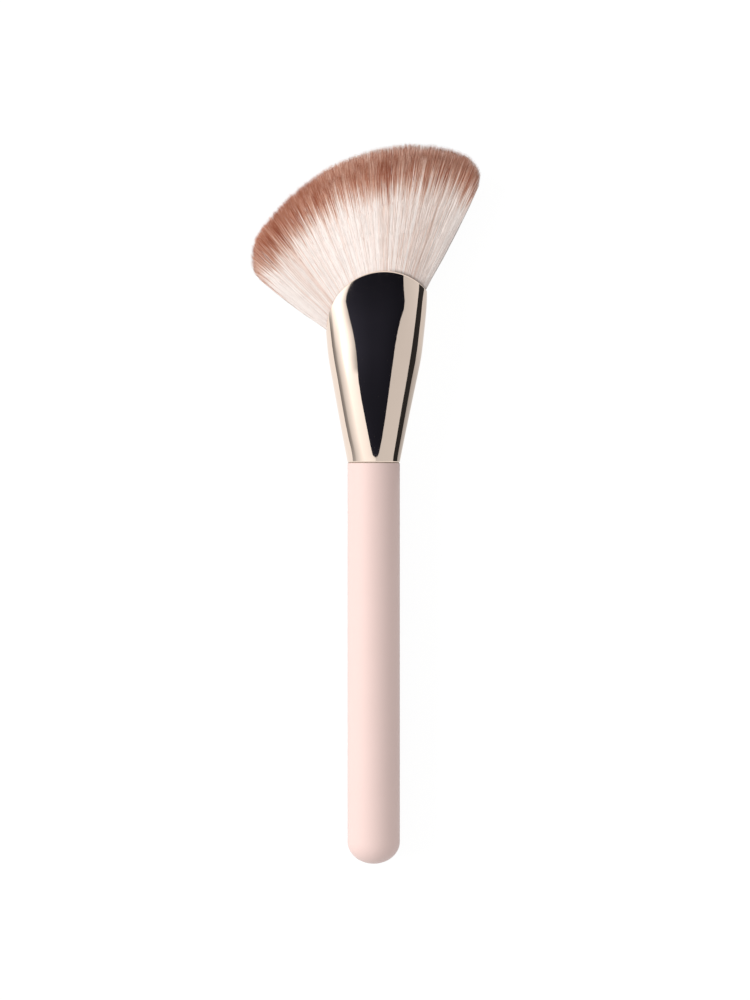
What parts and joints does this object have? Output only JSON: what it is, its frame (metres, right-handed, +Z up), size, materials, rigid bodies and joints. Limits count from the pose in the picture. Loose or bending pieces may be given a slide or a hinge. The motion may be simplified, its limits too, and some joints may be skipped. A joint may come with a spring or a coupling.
{
  "type": "powder brush",
  "caption": "Makeup powder brush with a plain round handle, a pinched flaring ferrule with an arched slanting mouth, and a fan of hair cut to a slant.",
  "frame": {"origin": "on the handle's axis at its shoulder, where the ferrule begins", "axes": "+Y along the handle towards the hair tips, +Z up out of the broad face that the brush lies on the back of, +X to the side on which the hair stands highest"},
  "size_m": [0.0592, 0.1846, 0.016],
  "materials": {
    "handle": "satin pale pink lacquer",
    "ferrule": "mirror polished, champagne tint",
    "resin": "cured casting resin",
    "thread": "waxed thread",
    "hair": "tapered nylon filament, off-white with brown tips"
  },
  "bodies": {
    "root": {"handle": "handle", "ferrule": "ferrule", "resin_plug": "resin", "binding_thread": "thread", "bristle_tuft": "hair"}
  },
  "joints": []
}
